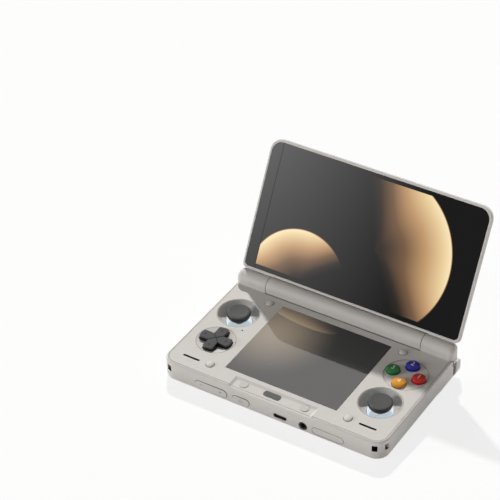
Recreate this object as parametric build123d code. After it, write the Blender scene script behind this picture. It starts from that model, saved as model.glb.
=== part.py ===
"""Clamshell handheld game console with two screens, standing open.

Everything is modelled in the deck frame: x to the right, y towards the hinge, z up from the deck
surface, origin at the middle of the deck. The lid is modelled closed and then turned open about the
hinge. At the end every piece gets the same resting placement: the console leans a little forward on
its two rear grips and two front feet, and the origin is the bottom centre of the whole object.
"""
from build123d import *
import os
from math import atan2, cos, degrees, radians, sin

# ---------------------------------------------------------------- driving dimensions, mm
WIDTH = 150.0
FRONT_Y = -48.2
REAR_Y = 46.0
BASE_T = 13.9              # deck surface to the flat bottom
FRONT_CORNER_R = 8.5
REAR_CORNER_R = 5.0
BOTTOM_EDGE_R = 2.6
TOP_EDGE_R = 1.1
WALL = 2.4                 # side wall of the base
FLOOR_Z = -12.3            # top of the bottom wall
DECK_T = 1.8
DECK_INSET = 1.4           # the deck plate lies inside the rim of the bottom cover
SEAM = 0.22                # open seam round the deck plate

HINGE_Y, HINGE_Z = 40.4, 3.2
BARREL_R = 5.1
TROUGH_R = 6.3             # room for the knuckle to turn
SPLIT_X = 53.75            # where the knuckle meets the end housings
SPLIT_GAP = 0.2
LID_OPEN = 118.6           # opening angle as stored
SHAFT_R = 1.5
HINGE_UNIT_R = 3.1
KNUCKLE_BORE_R = 3.5       # the hollow for the cable
RUNNING = 0.05             # radial clearance of a shaft in its bore

LID_FACE_Z = 3.0           # the upper glass, lid closed; clear of the tilted sticks and the cross key
LID_RIM_Z = 2.6
LID_SPLIT_Z = 4.6
LID_TOP_Z = HINGE_Z + BARREL_R
LID_FRONT_Y = -48.5
LID_REAR_Y = 35.0
LID_CORNER_R = 8.0         # far from the hinge
LID_HEEL_R = 3.1           # the two corners beside the hinge
LID_EDGE_R = 3.0
LID_WALL = 1.6
UPPER_GLASS = (73.8, -46.9, 33.4, 7.0, 2.8)   # half width, y from, y to, corner radii, of its opening

UPPER_STICK = (-57.7, 11.0)
LOWER_STICK = (56.0, -16.8)
DPAD = (-55.9, -17.3)
FACE_CENTRE = (57.1, 11.8)
FACE_PITCH_R = 8.5
FACE_CAP_R = 4.2
SMALL_BUTTONS = {
    "menu_button_rear_left": (-46.3, 28.2),
    "menu_button_rear_right": (45.9, 28.9),
    "menu_button_front_left": (-46.7, -38.0),
    "menu_button_front_right": (46.7, -37.9),
}
SMALL_R = 2.5
KEY_GAP = 0.3              # between a press button and its hole
FRONT_GAP = 0.3            # round the pill-shaped keys
STICK_PIVOT_Z = -8.6
TRUNNION_R = 0.35
STICK_TOP_Z = 1.5
STICK_CAP_R = 7.4
STEM_TOP_Z = 0.15
CLICK_ROOM = 0.45          # over the stem, inside the cap
WELL_R = 12.8
WELL_FLOOR_Z = -6.9
DPAD_PIVOT_Z = -6.6
DPAD_TOP_Z = 1.9
DPAD_DISH_R = 11.9
DPAD_DISH_DEPTH = 1.4

WINDOW = (75.6, 65.6)
WINDOW_Y = -2.7
GLASS_T = 1.0
FIT = 0.15                 # gap round glass and trims
PADS = ((-20.5, -42.4), (20.5, -42.4))   # the lid rests on these
PAD_R = 2.8
STRIP_Z = (-0.8, -0.45)    # floor of the front strip, top of what lies in it

BOARD_TOP_Z = -10.9
BOARD_T = 1.0

VOLUME = (-50.9, -29.0, -8.3, 4.9)      # x from, x to, middle z and height of each pill on the front
POWER = (-25.0, -13.6, -8.4, 4.6)
CARD = (29.0, 49.6, -8.7, 4.5)
USB_X, USB_Z = 7.4, -8.9
JACK_X, JACK_Z = 22.8, -8.9
JACK_BORE_R = 1.8

CORNER_X, CORNER_Y = 46.2, 34.2          # solid rear corners start here
SHELF_Z = (-5.0, -4.2)
SHELF_INSET = 1.2
SHOULDER_X = 54.1
SHOULDER_Y = 36.6
SHOULDER_Z = (-3.9, -0.85)
SHOULDER_PIN = (56.9, 42.0)
TRIGGER_X = 48.2
TRIGGER_TOP_Z = -5.6
TRIGGER_FRONT_Y = 41.6
TRIGGER_PIN = (43.7, -7.7)
PIN_R = 1.0

SCREWS = [(sx * x, y) for sx in (-1, 1) for x, y in ((70.0, -3.2), (27.6, -41.0), (40.0, 30.7))]
BOSS_R = 2.0
BOSS_SPLIT_Z = -5.0
HEAD_SEAT_Z = -13.0        # under the screw heads

FAN = (20.0, 14.5)
ROTOR_Z = (-10.2, -5.6)
FRONT_FEET_Y, REAR_FEET_Y = -38.0, 36.0
FEET_X = (57.0, 61.5)                    # front, rear
FRONT_REST_Z, REAR_REST_Z = -14.7, -19.2
GRIP_LOW_Z = -18.8
TRIGGER_LOW_Z = -18.3
LEAN = degrees(atan2(FRONT_REST_Z - REAR_REST_Z, REAR_FEET_Y - FRONT_FEET_Y))


# ---------------------------------------------------------------- small helpers
def block(x0, x1, y0, y1, z0, z1):
    return Pos((x0 + x1) / 2, (y0 + y1) / 2, (z0 + z1) / 2) * Box(x1 - x0, y1 - y0, z1 - z0)


def disc(x, y, z0, z1, r):
    return Pos(x, y, (z0 + z1) / 2) * Cylinder(r, z1 - z0)


def ring(x, y, z0, z1, r_in, r_out):
    return disc(x, y, z0, z1, r_out) - disc(x, y, z0 - 1, z1 + 1, r_in)


def rod_x(x0, x1, y, z, r):
    return Pos((x0 + x1) / 2, y, z) * Rot(0, 90, 0) * Cylinder(r, x1 - x0)


def rod_y(x, y0, y1, z, r):
    return Pos(x, (y0 + y1) / 2, z) * Rot(90, 0, 0) * Cylinder(r, y1 - y0)


def pill(x0, x1, z, height, y0, y1):
    """A prism with round ends, pushed through the front wall from y0 to y1."""
    return Pos((x0 + x1) / 2, y1, z) * extrude(Plane.XZ * SlotOverall(x1 - x0, height), y1 - y0)


def rounded_prism(x_half, y0, y1, z0, z1, front_r, rear_r):
    outline = Pos(0, (y0 + y1) / 2) * Rectangle(2 * x_half, y1 - y0)
    outline = fillet(outline.vertices().group_by(Axis.Y)[0], front_r)
    outline = fillet(outline.vertices().group_by(Axis.Y)[-1], rear_r)
    return extrude(Pos(0, 0, z0) * outline, z1 - z0)


def turned(profile, x, y):
    """A solid of revolution about the vertical through (x, y); the profile is drawn in (r, z)."""
    return Pos(x, y, 0) * revolve(Plane.XZ * make_face(profile), Axis.Z)


def to_right(solid, side):
    """Pieces of the pairs are modelled on the right; side -1 gives the left one."""
    return solid if side > 0 else mirror(solid, Plane.YZ)


def body_prism(inset, z0, z1):
    """The base's outline, drawn in by inset, between two heights."""
    return rounded_prism(WIDTH / 2 - inset, FRONT_Y + inset, REAR_Y - inset, z0, z1, FRONT_CORNER_R - inset,
                         REAR_CORNER_R - inset)


def body_blank(grow=0.0):
    """The outer form of the base without its grips."""
    blank = body_prism(-grow, -BASE_T - grow, 0)
    blank = fillet(blank.edges().group_by(Axis.Z)[0], BOTTOM_EDGE_R + grow)
    return fillet(blank.edges().group_by(Axis.Z)[-1], TOP_EDGE_R)


# ---------------------------------------------------------------- grips and triggers
def lobe_section(top_z, low_z, x_in, x_out):
    """Rear view of a grip: a rounded lobe with a steep outer side, lowest well outside its middle."""
    drop = top_z - low_z
    curve = Spline(
        (x_out, top_z),
        (x_out - 0.1, top_z - 0.36 * drop),
        (x_out - 0.6, top_z - 0.68 * drop),
        (x_out - 2.6, top_z - 0.91 * drop),
        (x_out - 7.6, low_z),
        (x_in + 11.0, top_z - 0.965 * drop),
        (x_in + 5.4, top_z - 0.82 * drop),
        (x_in + 1.5, top_z - 0.50 * drop),
        (x_in, top_z),
        tangents=[(0, -1), (0, 1)],
    )
    return make_face([curve, Line((x_in, top_z), (x_out, top_z))])


def fixed_grip():
    """The part of the grip that belongs to the bottom cover, in front of the trigger."""
    section = extrude(Plane.XZ.offset(-50) * lobe_section(SHELF_Z[0], GRIP_LOW_Z, 48.6, 74.6), 50)
    low = GRIP_LOW_Z
    side = make_face([
        Line((14.0, -8.0), (14.0, -13.4)),
        Spline((14.0, -13.4), (21.0, -14.2), (28.0, -16.3), (34.5, low), tangents=[(1, 0), (1, 0)]),
        Line((34.5, low), (39.3, low)),
        Line((39.3, low), (41.0, -8.0)),
        Line((41.0, -8.0), (14.0, -8.0)),
    ])
    return section & extrude(Plane.YZ * side, 80)


def trigger(side):
    """The big curled key behind the grip; it swings forward about the pin near its top."""
    low = TRIGGER_LOW_Z
    rear_view = extrude(Plane.XZ.offset(-52) * lobe_section(TRIGGER_TOP_Z, low, 48.6, 74.9), 14)
    profile = make_face([
        Line((TRIGGER_FRONT_Y, TRIGGER_TOP_Z), (46.0, TRIGGER_TOP_Z)),
        Spline((46.0, TRIGGER_TOP_Z), (48.5, -7.6), (49.6, -11.4), (49.2, -15.0), (46.6, -17.8), (43.0, low),
               tangents=[(1, -0.35), (-1, -0.06)]),
        Line((43.0, low), (TRIGGER_FRONT_Y, low)),
        Line((TRIGGER_FRONT_Y, low), (TRIGGER_FRONT_Y, TRIGGER_TOP_Z)),
    ])
    plan = Pos(61.8, 0, 0) * rounded_prism(13.3, TRIGGER_FRONT_Y, 49.7, -20, 0, 2.6, 4.0)
    key = rear_view & extrude(Plane.YZ * profile, 80) & plan
    key -= rod_x(40, 64, *TRIGGER_PIN, PIN_R + RUNNING)
    key -= block(60.6, 63.1, 41, TRIGGER_PIN[0] + 1.9, -11, -5)
    return to_right(key, side)


def trigger_ear():
    """The lug of the bottom cover that carries the outer end of the trigger pin."""
    return block(61.0, 62.7, 40.0, TRIGGER_PIN[0] + 1.3, -9.2, SHELF_Z[0] + 0.01)


def shoulder(side):
    """The slim key over the trigger, round the rear corner, turning about an upright pin."""
    key = body_prism(0.08, SHOULDER_Z[0], SHOULDER_Z[1]) & block(SHOULDER_X + 0.5, 80, 38.2, 50, -5, 0)
    key = fillet(key.edges().filter_by(Axis.Z).group_by(Axis.Y)[0].sort_by(Axis.X)[0], 0.4)
    outer = [e for e in key.edges().group_by(Axis.Z)[-1] if e.center().X > 73 or e.center().Y > 43]
    key = fillet(outer, 1.6)
    key -= disc(*SHOULDER_PIN, -5, 1, PIN_R + RUNNING)
    return to_right(key, side)


# ---------------------------------------------------------------- base covers
def lanyard_tunnel(side):
    """A strap hole that goes in at the front and comes out round the corner."""
    tunnel = block(68.0, 71.0, FRONT_Y - 1, -40.6, -7.0, -3.0) + block(68.0, 76, -43.6, -40.6, -7.0, -3.0)
    return to_right(tunnel, side)


def hinge_trough():
    """The half-round channel under the knuckle."""
    return block(-CORNER_X - 0.5, CORNER_X + 0.5, 33.0, REAR_Y, -5.2, -0.4)


def rear_pockets(side):
    """The room for the shoulder key and the trigger in a solid rear corner."""
    far = 80.0
    room = block(SHOULDER_X, far, SHOULDER_Y, 60, SHELF_Z[1], 5)
    room += block(SPLIT_X, far, 35.1, 60, -0.6, 5)
    swing = make_face(Polyline((41.0, SHELF_Z[0]), (60, SHELF_Z[0]), (60, -20), (39.3, -20), close=True))
    room += extrude(Plane.YZ.offset(TRIGGER_X) * swing, far - TRIGGER_X)
    lip = body_prism(-1, *SHELF_Z) - body_prism(SHELF_INSET, *SHELF_Z)
    room += lip & block(TRIGGER_X + 1.4, far, SHOULDER_Y, 60, -6, 0)
    return to_right(room, side)


def front_openings():
    """Everything that goes through the front wall."""
    cuts = []
    for x0, x1, z, height in (VOLUME, POWER, CARD):
        cuts.append(pill(x0 - FRONT_GAP, x1 + FRONT_GAP, z, height + 2 * FRONT_GAP, FRONT_Y - 1, FRONT_Y + WALL + 0.1))
    cuts.append(pill(USB_X - 4.6, USB_X + 4.6, USB_Z, 3.3, FRONT_Y - 1, FRONT_Y + WALL + 0.1))
    cuts.append(rod_y(JACK_X, FRONT_Y - 1, FRONT_Y + WALL + 0.1, JACK_Z, 2.95))
    cuts.append(rod_y(JACK_X, FRONT_Y, -33.0, JACK_Z, 2.7))
    return cuts


def front_recess():
    """The shallow strip in front of the lower screen, ramped at its ends and towards the screen."""
    strip = make_face(Polyline((-28.0, 0.5), (28.0, 0.5), (28.0, 0), (26.4, -0.8), (-26.4, -0.8), (-28.0, 0),
                               close=True))
    ramp = make_face(Polyline((-52.0, -1), (-40.4, -1), (-40.4, -0.8), (-38.6, 0), (-38.6, 0.5), (-52.0, 0.5), close=True))
    return Pos(0, -36, 0) * extrude(Plane.XZ * strip, 14) & extrude(Plane.YZ.offset(-30) * ramp, 60)


def bottom_cover():
    """The lower shell with walls, grips, hinge trough, screw bosses and every port."""
    shell = body_blank()
    for side in (-1, 1):
        shell += to_right(fixed_grip(), side)
    cavity = body_prism(WALL, FLOOR_Z, 1) - hinge_trough()
    for side in (-1, 1):
        cavity -= to_right(block(CORNER_X, 80, CORNER_Y, 60, -20, 1), side)
        cavity -= to_right(block(66.5, 80, -50, -39.2, -20, -DECK_T), side)
    for x, y in SCREWS:
        cavity -= disc(x, y, FLOOR_Z - 1, BOSS_SPLIT_Z, BOSS_R)
    shell -= cavity
    shell -= body_prism(DECK_INSET, -DECK_T, 1) & block(-80, 80, -60, 35.2, -2, 1)
    for side in (-1, 1):
        shell -= rear_pockets(side)
        shell += to_right(trigger_ear(), side)
        shell -= to_right(rod_x(46.8, 64, *TRIGGER_PIN, PIN_R), side)
        shell -= to_right(disc(*SHOULDER_PIN, -4.8, 0, PIN_R), side)
        shell -= lanyard_tunnel(side)
    shell -= rod_x(-SPLIT_X - SPLIT_GAP, SPLIT_X + SPLIT_GAP, HINGE_Y, HINGE_Z, TROUGH_R)
    shell -= block(-SPLIT_X - SPLIT_GAP, SPLIT_X + SPLIT_GAP, 35.2, 60, -0.4, 5)
    for cut in front_openings():
        shell -= cut
    shell -= front_recess()
    for x, y in SCREWS:
        shell -= disc(x, y, -15, HEAD_SEAT_Z, 2.1) + disc(x, y, -15, -4, 1.0)
    for i in range(-4, 5):
        slot = Pos(FAN[0] + 2.6 * i, FAN[1], -15) * SlotOverall(20 - 0.5 * i * i, 1.3, rotation=90)
        shell -= extrude(slot, 4)
    for pad in foot_blanks():
        shell -= pad
    return shell


def end_housing():
    """The fixed barrel end beside the knuckle, with a bore for the hinge unit."""
    profile = Pos(HINGE_Y, HINGE_Z) * Circle(BARREL_R)
    profile += Pos(HINGE_Y, (HINGE_Z - 0.6) / 2) * Rectangle(2 * BARREL_R, HINGE_Z + 0.6)
    housing = extrude(Plane.YZ.offset(SPLIT_X + SPLIT_GAP) * profile, 20.95)
    housing &= body_prism(0.1, -0.6, 12)
    outer = housing.edges().filter_by_position(Axis.X, 60, 76).filter_by_position(Axis.Z, -0.5, 9)
    housing = fillet(outer, 3.0)
    return housing - rod_x(50, 67, HINGE_Y, HINGE_Z, HINGE_UNIT_R) - disc(*SHOULDER_PIN, -3, -0.6, PIN_R)


def stick_well(x, y):
    """The bowl round a thumb stick."""
    profile = [
        Line((WELL_R + 0.4, 0), (WELL_R, -0.35)),
        ThreePointArc((WELL_R, -0.35), (11.6, -4.0), (8.1, -6.1)),
        Line((8.1, -6.1), (8.1, WELL_FLOOR_Z)),
        Line((8.1, WELL_FLOOR_Z), (9.4, WELL_FLOOR_Z)),
        ThreePointArc((9.4, WELL_FLOOR_Z), (12.8, -4.5), (14.1, -1.0)),
        Line((14.1, -1.0), (14.1, 0)),
        Line((14.1, 0), (WELL_R + 0.4, 0)),
    ]
    return turned(profile, x, y)


def dpad_outline(grow=0.0):
    """Four arms, a little wider at their round outer ends."""
    arm = Polygon((0, -3.1 - grow), (10.9 + grow, -3.6 - grow), (10.9 + grow, 3.6 + grow), (0, 3.1 + grow),
                  align=None)
    arm &= Circle(10.4 + grow)
    arm = fillet(arm.vertices().group_by(Axis.X)[-1], 1.3)
    cross = arm
    for turn in (90, 180, 270):
        cross += Rot(0, 0, turn) * arm
    return cross


def face_positions():
    """Right, rear, left and front of the diamond of four buttons."""
    x, y = FACE_CENTRE
    return [(x + FACE_PITCH_R * cos(radians(a)), y + FACE_PITCH_R * sin(radians(a))) for a in (0, 90, 180, 270)]


def deck_cover():
    """The deck plate with stick wells, the dish of the cross key and the two barrel ends."""
    plate = body_prism(DECK_INSET + SEAM, -DECK_T, 0)
    plate -= block(-SPLIT_X - SPLIT_GAP, SPLIT_X + SPLIT_GAP, 35.0, 60, -3, 3)
    plate -= rod_x(-SPLIT_X - SPLIT_GAP, SPLIT_X + SPLIT_GAP, HINGE_Y, HINGE_Z, TROUGH_R)
    for side in (-1, 1):
        plate -= to_right(block(SHOULDER_X - 0.3, 80, 35.1, 60, -3, -0.6), side)
        plate -= to_right(block(CORNER_X - 0.2, 80, CORNER_Y, 60, -3, -DECK_T), side)
        plate += to_right(end_housing(), side)
    glass_x, glass_y = WINDOW
    plate -= block(-glass_x / 2, glass_x / 2, WINDOW_Y - glass_y / 2, WINDOW_Y + glass_y / 2, -GLASS_T, 1)
    plate -= block(-36, 36, WINDOW_Y - 31, WINDOW_Y + 31, -3, 1)
    for x, y in (UPPER_STICK, LOWER_STICK):
        plate -= disc(x, y, -3, 1, 13.6)
        plate += stick_well(x, y)
    plate += disc(*DPAD, -3.2, -DECK_T + 0.2, 13)
    sphere_r = (DPAD_DISH_R ** 2 + DPAD_DISH_DEPTH ** 2) / (2 * DPAD_DISH_DEPTH)
    plate -= Pos(*DPAD, sphere_r - DPAD_DISH_DEPTH) * Sphere(sphere_r)
    plate -= Pos(*DPAD, -5) * extrude(dpad_outline(0.45), 8)
    plate -= disc(*FACE_CENTRE, -0.25, 1, 13.4)
    for x, y in face_positions():
        plate -= disc(x, y, -3, 1, FACE_CAP_R + KEY_GAP)
    for x, y in SMALL_BUTTONS.values():
        plate -= disc(x, y, -3, 1, SMALL_R + KEY_GAP)
    for x in (-59.75, 59.75):
        plate -= extrude(Pos(x, -38.2, -3) * SlotOverall(11.5, 1.5), 4)
    plate -= disc(-47.0, -2.0, -3, 1, 0.5)
    plate -= front_recess()
    for x, y in PADS:
        plate -= disc(x, y, STRIP_Z[0], 1, PAD_R + FIT)
    for x, y in SCREWS:
        plate += disc(x, y, BOSS_SPLIT_Z, -DECK_T + 0.2, BOSS_R)
        plate -= disc(x, y, -6, -1.4, 0.9)
    return plate


# ---------------------------------------------------------------- feet, trims, screws
def floor_block():
    """The table under the console, in the deck frame."""
    return Pos(0, FRONT_FEET_Y, FRONT_REST_Z) * Rot(-LEAN, 0, 0) * Pos(0, 0, -15) * Box(300, 400, 30)


def foot_blanks():
    pads = []
    for side in (-1, 1):
        pads.append(disc(side * FEET_X[0], FRONT_FEET_Y, -16, -BASE_T + 0.6, 4.0))
        pads.append(disc(side * FEET_X[1], REAR_FEET_Y, -21, -16.7, 2.6))
    return pads


def rubber_feet():
    return Compound(children=[pad - floor_block() for pad in foot_blanks()])


def bumper_pads():
    pads = []
    for x, y in PADS:
        pad = disc(x, y, *STRIP_Z, PAD_R)
        pads.append(fillet(pad.edges().group_by(Axis.Z)[-1], 0.15))
    return Compound(children=pads)


def front_plate():
    return extrude(Pos(-1.2, -42.4, STRIP_Z[0]) * RectangleRounded(10.8, 4.0, 1.1), STRIP_Z[1] - STRIP_Z[0])


def case_screws():
    screws = []
    for x, y in SCREWS:
        screw = disc(x, y, HEAD_SEAT_Z - 0.8, HEAD_SEAT_Z, 1.9) + disc(x, y, HEAD_SEAT_Z, -2.4, 0.9)
        for turn in (0, 90):
            screw -= Pos(x, y, HEAD_SEAT_Z - 0.7) * Rot(0, 0, turn) * Box(2.2, 0.5, 0.8)
        screws.append(screw)
    return Compound(children=screws)


# ---------------------------------------------------------------- screens
def lower_glass():
    x, y = WINDOW[0] / 2 - FIT, WINDOW[1] / 2 - FIT
    return block(-x, x, WINDOW_Y - y, WINDOW_Y + y, -GLASS_T, 0)


def lower_display_panel():
    return block(-35.8, 35.8, WINDOW_Y - 30.8, WINDOW_Y + 30.8, -GLASS_T - 1.7, -GLASS_T)


# ---------------------------------------------------------------- inner parts of the base
def mainboard():
    board = block(-68.0, 68.0, -43.0, 31.0, BOARD_TOP_Z - BOARD_T, BOARD_TOP_Z)
    for side in (-1, 1):
        board -= to_right(block(66.0, 70, -45, -38.8, -12, -8), side)
    board -= block(USB_X - 5, USB_X + 5, -45, -39.6, -12, -8)
    board -= block(JACK_X - 3, JACK_X + 3, -45, -32.6, -12, -8) + block(JACK_X, 30.2, -45, -38.4, -12, -8)
    board -= disc(*FAN, -12, -8, 11.0)
    for x, y in SCREWS:
        board -= disc(x, y, -12, -8, BOSS_R + 0.3)
    chips = [(-30, 12, 14, 14, 1.2), (-30, 26, 9, 6, 1.0), (-12, 26, 8, 6, 1.0)]
    for x, y, w, d, h in chips:
        board += Pos(x, y, BOARD_TOP_Z + h / 2) * Box(w, d, h)
    return board


def heat_spreader():
    """A copper plate on the processor, with a flat heat pipe that runs to the fan's outlet."""
    plate = block(-38.5, -17.0, 3.0, 21.0, BOARD_TOP_Z + 1.2, BOARD_TOP_Z + 2.0)
    pipe = block(-34.0, 3.4, 8.0, 14.0, BOARD_TOP_Z + 2.0, BOARD_TOP_Z + 4.0)
    return plate + fillet(pipe.edges().filter_by(Axis.X), 0.9)


def fan_housing():
    """A flat blower case, open below and at its rear mouth, with the rotor's axle in its lid."""
    x, y = FAN
    case = block(x - 16, x + 16, y - 15.5, y + 15.5, BOARD_TOP_Z, -4.4)
    case -= disc(x, y, BOARD_TOP_Z - 1, -5.2, 14.2)
    case -= block(x - 11, x + 11, y, y + 16, ROTOR_Z[0] + 0.1, -5.2)
    return case + disc(x, y, ROTOR_Z[0] + 0.3, -5.1, 1.0)


def fan_rotor():
    x, y = FAN
    rotor = disc(x, y, *ROTOR_Z, 5.2)
    blade = block(4.8, 12.6, -0.35, 0.35, ROTOR_Z[0], ROTOR_Z[1] - 0.2)
    for i in range(15):
        rotor += Pos(x, y, 0) * Rot(0, 0, 24 * i) * blade
    return rotor - disc(x, y, ROTOR_Z[0] + 0.2, -5, 1.0 + RUNNING)


def battery():
    pack = block(-42.5, 42.5, -32.0, -2.4, BOARD_TOP_Z, -4.2)
    return fillet(pack.edges().filter_by(Axis.X), 1.0)


def speaker(side):
    box = block(52.2, 65.8, -45.0, -32.0, -8.4, -2.4) + block(53.5, 65.6, -41.0, -35.4, -2.4, -1.9)
    return to_right(box, side)


def stick_module(x, y):
    """The square sensor housing under a stick, with a round cavity and trunnion holes."""
    box = Pos(x, y, (BOARD_TOP_Z + WELL_FLOOR_Z) / 2) * Box(17, 17, WELL_FLOOR_Z - BOARD_TOP_Z)
    box -= disc(x, y, BOARD_TOP_Z + 0.2, 0, 5.2)
    return box - rod_x(x - 6.7, x + 6.7, y, STICK_PIVOT_Z, TRUNNION_R + RUNNING)


def stick_gimbal(x, y):
    """The ring that carries the stem and tips about the X trunnions."""
    gimbal = ring(x, y, STICK_PIVOT_Z - 0.6, STICK_PIVOT_Z + 0.6, 3.4, 4.5)
    for x0, x1 in ((x - 6.5, x - 4.0), (x + 4.0, x + 6.5)):
        gimbal += rod_x(x0, x1, y, STICK_PIVOT_Z, TRUNNION_R)
    return gimbal - rod_y(x, y - 4.7, y + 4.7, STICK_PIVOT_Z, TRUNNION_R + RUNNING)


def stick_stem(x, y):
    stem = disc(x, y, STICK_PIVOT_Z - 0.7, STICK_PIVOT_Z + 0.7, 2.6) + disc(x, y, STICK_PIVOT_Z, STEM_TOP_Z, 1.6)
    return stem + rod_y(x, y - 4.3, y + 4.3, STICK_PIVOT_Z, TRUNNION_R)


def stick_cap(x, y):
    """The thumb cap: a rounded rim round a slightly hollow top, over a bowl that tapers to the stem."""
    top, wide = STICK_TOP_Z, STICK_CAP_R
    profile = [
        ThreePointArc((0, top - 0.5), (2.8, top - 0.4), (5.2, top - 0.12)),
        ThreePointArc((5.2, top - 0.12), (5.9, top), (6.6, top - 0.12)),
        ThreePointArc((6.6, top - 0.12), (7.2, top - 0.4), (wide, top - 0.9)),
        Spline((wide, top - 0.9), (7.1, -0.7), (6.6, -2.1), (5.6, -3.3), (4.3, -4.2), (3.2, -4.8),
               tangents=[(-0.2, -1), (-1, -0.6)]),
        Line((3.2, -4.8), (0, -4.8)),
        Line((0, -4.8), (0, top - 0.5)),
    ]
    return turned(profile, x, y) - disc(x, y, -6, STEM_TOP_Z + CLICK_ROOM, 1.6 + RUNNING)


def light_ring(x, y):
    """A glowing funnel on the floor of the well, with a hole for the stem."""
    profile = Polyline((2.8, WELL_FLOOR_Z), (7.8, WELL_FLOOR_Z), (7.8, -5.9), (6.9, -5.9), (2.8, WELL_FLOOR_Z + 0.35),
                       close=True)
    return turned(profile, x, y)


def dpad():
    """The cross key with a flange below the deck and a socket over its pivot ball."""
    cross = Pos(0, 0, -4.3) * extrude(dpad_outline(), DPAD_TOP_Z + 4.3)
    cross = fillet(cross.edges().group_by(Axis.Z)[-1], 0.5)
    groove = Pos(0, 0, DPAD_TOP_Z) * Box(8.4, 0.5, 0.8)
    for turn in (45, 135):
        cross -= Rot(0, 0, turn) * groove
    for turn in (0, 90, 180, 270):
        cross -= Rot(0, 0, turn) * Pos(7.4, 0, DPAD_TOP_Z + 0.7) * Sphere(1.1)
    cross += disc(0, 0, -5.0, -4.2, 9.0) + disc(0, 0, -6.9, -4.9, 2.7)
    cross -= Pos(0, 0, DPAD_PIVOT_Z) * Sphere(1.5 + RUNNING)
    return Pos(*DPAD, 0) * cross


def dpad_pivot():
    """The ball post under the cross key."""
    return Pos(*DPAD, DPAD_PIVOT_Z) * Sphere(1.5) + disc(*DPAD, -8.3, DPAD_PIVOT_Z, 0.8)


def dpad_membrane():
    """A rubber sheet with one dome under each arm."""
    sheet = ring(*DPAD, BOARD_TOP_Z, BOARD_TOP_Z + 0.8, 2.0, 11.5)
    for turn in (0, 90, 180, 270):
        x, y = DPAD[0] + 7.2 * cos(radians(turn)), DPAD[1] + 7.2 * sin(radians(turn))
        sheet += disc(x, y, BOARD_TOP_Z + 0.7, -6.1, 1.8)
    return sheet


def face_button(x, y):
    profile = [
        ThreePointArc((0, 2.35), (2.0, 2.22), (3.5, 1.8)),
        ThreePointArc((3.5, 1.8), (4.02, 1.4), (FACE_CAP_R, 0.8)),
        Line((FACE_CAP_R, 0.8), (FACE_CAP_R, -1.95)),
        Line((FACE_CAP_R, -1.95), (4.75, -1.95)),
        Line((4.75, -1.95), (4.75, -2.9)),
        Line((4.75, -2.9), (2.5, -2.9)),
        Line((2.5, -2.9), (2.5, -6.6)),
        Line((2.5, -6.6), (0, -6.6)),
        Line((0, -6.6), (0, 2.35)),
    ]
    return turned(profile, x, y)


def face_button_membrane():
    sheet = disc(*FACE_CENTRE, BOARD_TOP_Z, BOARD_TOP_Z + 0.8, 9.9)
    for x, y in face_positions():
        sheet += disc(x, y, BOARD_TOP_Z, BOARD_TOP_Z + 0.8, 3.2) + disc(x, y, BOARD_TOP_Z, -8.1, 2.0)
    return sheet


def small_button(x, y):
    profile = [
        ThreePointArc((0, 1.1), (1.2, 1.0), (2.0, 0.75)),
        ThreePointArc((2.0, 0.75), (2.35, 0.5), (SMALL_R, 0.1)),
        Line((SMALL_R, 0.1), (SMALL_R, -1.95)),
        Line((SMALL_R, -1.95), (3.4, -1.95)),
        Line((3.4, -1.95), (3.4, -2.7)),
        Line((3.4, -2.7), (1.6, -2.7)),
        Line((1.6, -2.7), (1.6, -9.7)),
        Line((1.6, -9.7), (0, -9.7)),
        Line((0, -9.7), (0, 1.1)),
    ]
    return turned(profile, x, y)


def front_key(pill_size, flange_y):
    """A pill-shaped key cut from the wall's own form, with a longer flange inside."""
    x0, x1, z, height = pill_size
    key = pill(x0, x1, z, height, FRONT_Y - 1, flange_y + 0.4) & body_blank(0.2)
    return key + pill(x0 - 0.8, x1 + 0.8, z, height - 0.2, flange_y, flange_y + 0.8)


def card_door():
    """A push-in door over the card slot, with the short tether that keeps it."""
    x0, x1, z, height = CARD
    door = pill(x0, x1, z, height, FRONT_Y - 1, FRONT_Y + 1.6) & body_blank()
    return door + block(x1 - 2.6, x1 - 1.6, FRONT_Y + 1.0, FRONT_Y + 6.4, z - 0.5, z + 0.5)


def card_reader():
    x0, x1, z, _ = CARD
    box = block(31.0, 44.6, -44.8, -32.2, BOARD_TOP_Z, z + 1.1)
    return box - block(32.2, 43.4, -46, -33.4, z - 0.2, z + 0.7)


def usb_c_socket():
    outer = pill(USB_X - 4.5, USB_X + 4.5, USB_Z, 3.1, FRONT_Y + 0.3, -40.2)
    outer -= pill(USB_X - 4.2, USB_X + 4.2, USB_Z, 2.5, FRONT_Y - 1, -41.2)
    return outer + block(USB_X - 3.2, USB_X + 3.2, FRONT_Y + 1.2, -41.0, USB_Z - 0.35, USB_Z + 0.35)


def audio_jack():
    barrel = rod_y(JACK_X, FRONT_Y + 0.4, -33.4, JACK_Z, 2.6)
    return barrel - rod_y(JACK_X, FRONT_Y - 1, -34.4, JACK_Z, JACK_BORE_R)


def hinge_unit(side):
    """The steel friction unit pressed into a barrel end."""
    unit = rod_x(54.4, 66.4, HINGE_Y, HINGE_Z, HINGE_UNIT_R) - rod_x(54, 64.0, HINGE_Y, HINGE_Z, SHAFT_R + RUNNING)
    return to_right(unit, side)


def trigger_pins():
    pin = rod_x(46.8, 62.7, *TRIGGER_PIN, PIN_R)
    return Compound(children=[pin, mirror(pin, Plane.YZ)])


def shoulder_pins():
    pin = disc(*SHOULDER_PIN, -4.8, -0.6, PIN_R)
    return Compound(children=[pin, mirror(pin, Plane.YZ)])


# ---------------------------------------------------------------- lid, modelled closed
def lid_slab(z0, z1, inset=0.0):
    return rounded_prism(WIDTH / 2 - inset, LID_FRONT_Y + inset, LID_REAR_Y - inset, z0, z1, LID_CORNER_R - inset,
                         LID_HEEL_R - inset)


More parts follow.
